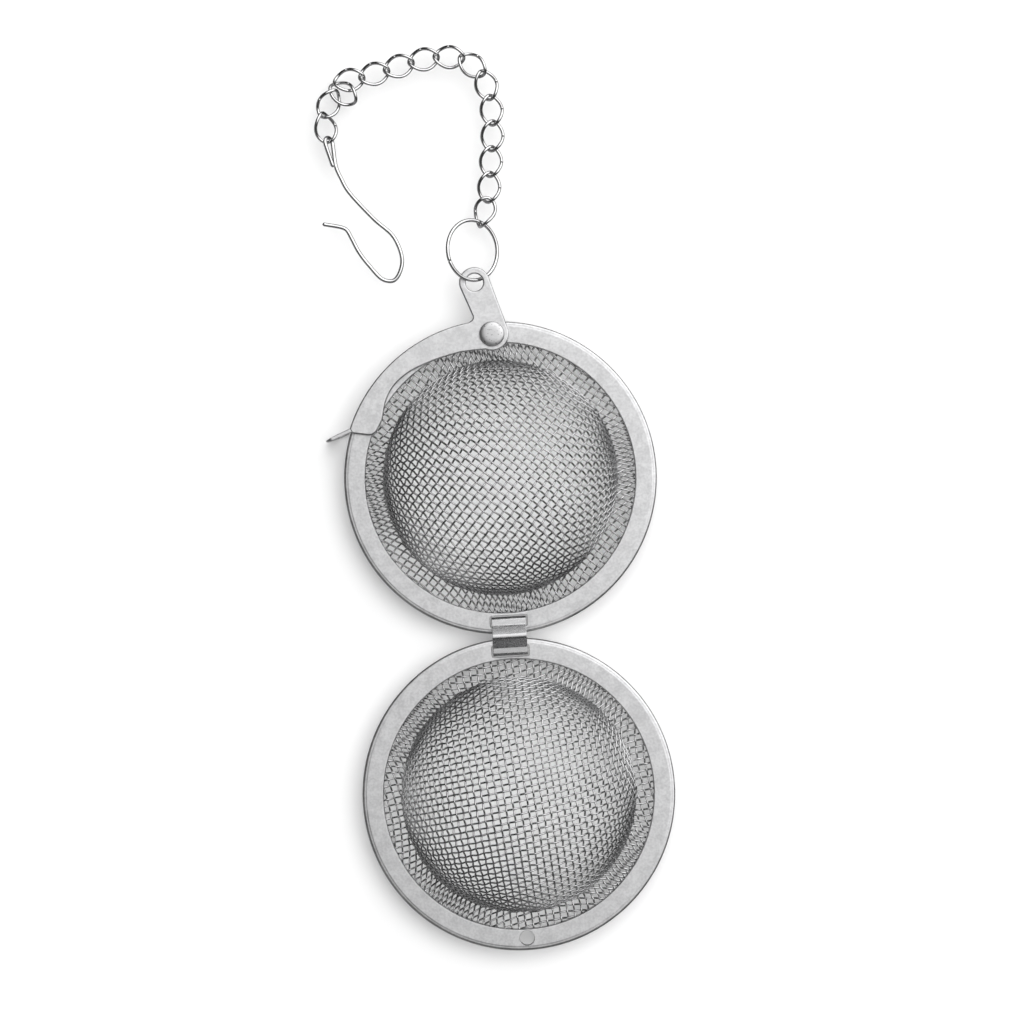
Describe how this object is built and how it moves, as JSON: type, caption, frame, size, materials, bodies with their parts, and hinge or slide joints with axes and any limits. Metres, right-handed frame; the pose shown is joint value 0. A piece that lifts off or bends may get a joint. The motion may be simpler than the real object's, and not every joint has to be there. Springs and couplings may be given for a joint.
{
  "type": "tea infuser",
  "caption": "Hinged mesh tea ball, folded open: two woven mesh domes in folded steel rims, a swinging latch lever, a wire ring, a curb chain and a cup hook.",
  "frame": {"origin": "on the hinge strap's flat underside, straight under the hinge axis of the upper half", "axes": "+Y from the hinge along the upper half towards the latch rivet, the ring and the chain; +Z the way both mesh domes bulge; +X across the hinge"},
  "size_m": [0.0536, 0.1482, 0.0212],
  "materials": {
    "steel_sheet": "satin pressed stainless sheet with fine scratches",
    "mesh_wire": "drawn stainless wire, plain weave",
    "bright_steel": "bright domed rivet head",
    "steel_wire": "bright drawn stainless wire"
  },
  "bodies": {
    "upper_half": {"upper_rim": "steel_sheet", "upper_mesh": "mesh_wire", "latch_rivet": "bright_steel"},
    "hinge_strap": {"hinge_strap": "steel_sheet"},
    "lower_half": {"lower_rim": "steel_sheet", "lower_mesh": "mesh_wire"},
    "latch_lever": {"latch_lever": "steel_sheet"},
    "ring": {"ring": "steel_wire"},
    "chain_link_01": {"chain_link_01": "steel_wire"},
    "chain_link_02": {"chain_link_02": "steel_wire"},
    "chain_link_03": {"chain_link_03": "steel_wire"},
    "chain_link_04": {"chain_link_04": "steel_wire"},
    "chain_link_05": {"chain_link_05": "steel_wire"},
    "chain_link_06": {"chain_link_06": "steel_wire"},
    "chain_link_07": {"chain_link_07": "steel_wire"},
    "chain_link_08": {"chain_link_08": "steel_wire"},
    "chain_link_09": {"chain_link_09": "steel_wire"},
    "chain_link_10": {"chain_link_10": "steel_wire"},
    "chain_link_11": {"chain_link_11": "steel_wire"},
    "chain_link_12": {"chain_link_12": "steel_wire"},
    "chain_link_13": {"chain_link_13": "steel_wire"},
    "chain_link_14": {"chain_link_14": "steel_wire"},
    "chain_link_15": {"chain_link_15": "steel_wire"},
    "hook": {"hook": "steel_wire"}
  },
  "joints": [
    {"name": "half_fold", "type": "hinge", "parent": "hinge_strap", "child": "lower_half", "pos_m": [0, -0.00186, 0.00155], "axis": [1, 0, 0], "range_deg": [0, 90]},
    {"name": "strap_fold", "type": "hinge", "parent": "upper_half", "child": "hinge_strap", "pos_m": [0, 0, 0.00155], "axis": [1, 0, 0], "range_deg": [0, 90]},
    {"name": "latch_swing", "type": "hinge", "parent": "upper_half", "child": "latch_lever", "pos_m": [0, 0.04837, 0.00295], "axis": [0, 0, 1], "range_deg": [-50, 4]},
    {"name": "ring_swing", "type": "hinge", "parent": "latch_lever", "child": "ring", "pos_m": [-0.00238, 0.05727, 0.00295], "axis": [0.8192, 0, -0.5736], "range_deg": [-60, 60]},
    {"name": "link_01_slide", "type": "hinge", "parent": "ring", "child": "chain_link_01", "pos_m": [-0.00238, 0.06217, 0.00295], "axis": [0.5736, 0, 0.8192], "range_deg": [-30, 30]},
    {"name": "link_02_turn", "type": "hinge", "parent": "chain_link_01", "child": "chain_link_02", "pos_m": [0.00063, 0.07023, 0.00176], "axis": [0, 0, 1], "range_deg": [-15, 15]},
    {"name": "link_03_turn", "type": "hinge", "parent": "chain_link_02", "child": "chain_link_03", "pos_m": [0.00122, 0.07439, 0.00176], "axis": [0, 0, -1], "range_deg": [-15, 15]},
    {"name": "link_04_turn", "type": "hinge", "parent": "chain_link_03", "child": "chain_link_04", "pos_m": [0.00173, 0.07856, 0.00176], "axis": [0, 0, 1], "range_deg": [-15, 15]},
    {"name": "link_05_turn", "type": "hinge", "parent": "chain_link_04", "child": "chain_link_05", "pos_m": [0.00217, 0.08273, 0.00176], "axis": [0, 0, -1], "range_deg": [-15, 15]},
    {"name": "link_06_turn", "type": "hinge", "parent": "chain_link_05", "child": "chain_link_06", "pos_m": [0.00195, 0.08693, 0.00176], "axis": [0, 0, 1], "range_deg": [-15, 15]},
    {"name": "link_07_turn", "type": "hinge", "parent": "chain_link_06", "child": "chain_link_07", "pos_m": [0.00093, 0.091, 0.00176], "axis": [0, 0, -1], "range_deg": [-15, 15]},
    {"name": "link_08_turn", "type": "hinge", "parent": "chain_link_07", "child": "chain_link_08", "pos_m": [-0.00229, 0.0937, 0.00176], "axis": [0, 0, 1], "range_deg": [-15, 15]},
    {"name": "link_09_turn", "type": "hinge", "parent": "chain_link_08", "child": "chain_link_09", "pos_m": [-0.00647, 0.09407, 0.00176], "axis": [0, 0, -1], "range_deg": [-15, 15]},
    {"name": "link_10_turn", "type": "hinge", "parent": "chain_link_09", "child": "chain_link_10", "pos_m": [-0.01062, 0.09341, 0.00176], "axis": [0, 0, 1], "range_deg": [-15, 15]},
    {"name": "link_11_turn", "type": "hinge", "parent": "chain_link_10", "child": "chain_link_11", "pos_m": [-0.01467, 0.09233, 0.00176], "axis": [0, 0, -1], "range_deg": [-15, 15]},
    {"name": "link_12_turn", "type": "hinge", "parent": "chain_link_11", "child": "chain_link_12", "pos_m": [-0.01877, 0.09138, 0.00176], "axis": [0, 0, 1], "range_deg": [-15, 15]},
    {"name": "link_13_turn", "type": "hinge", "parent": "chain_link_12", "child": "chain_link_13", "pos_m": [-0.02354, 0.09022, 0.00131], "axis": [0, 0, -1], "range_deg": [-6, 6]},
    {"name": "link_14_turn", "type": "hinge", "parent": "chain_link_13", "child": "chain_link_14", "pos_m": [-0.02321, 0.08922, 0.00176], "axis": [0, 0, 1], "range_deg": [-6, 6]},
    {"name": "link_15_turn", "type": "hinge", "parent": "chain_link_14", "child": "chain_link_15", "pos_m": [-0.02544, 0.08566, 0.00176], "axis": [0, 0, -1], "range_deg": [-10, 10]},
    {"name": "hook_turn", "type": "hinge", "parent": "chain_link_15", "child": "hook", "pos_m": [-0.02486, 0.0815, 0.00176], "axis": [0, 0, 1], "range_deg": [-20, 20]}
  ],
  "couplings": [
    {"joint": "strap_fold", "follows": "half_fold", "ratio": 1}
  ]
}
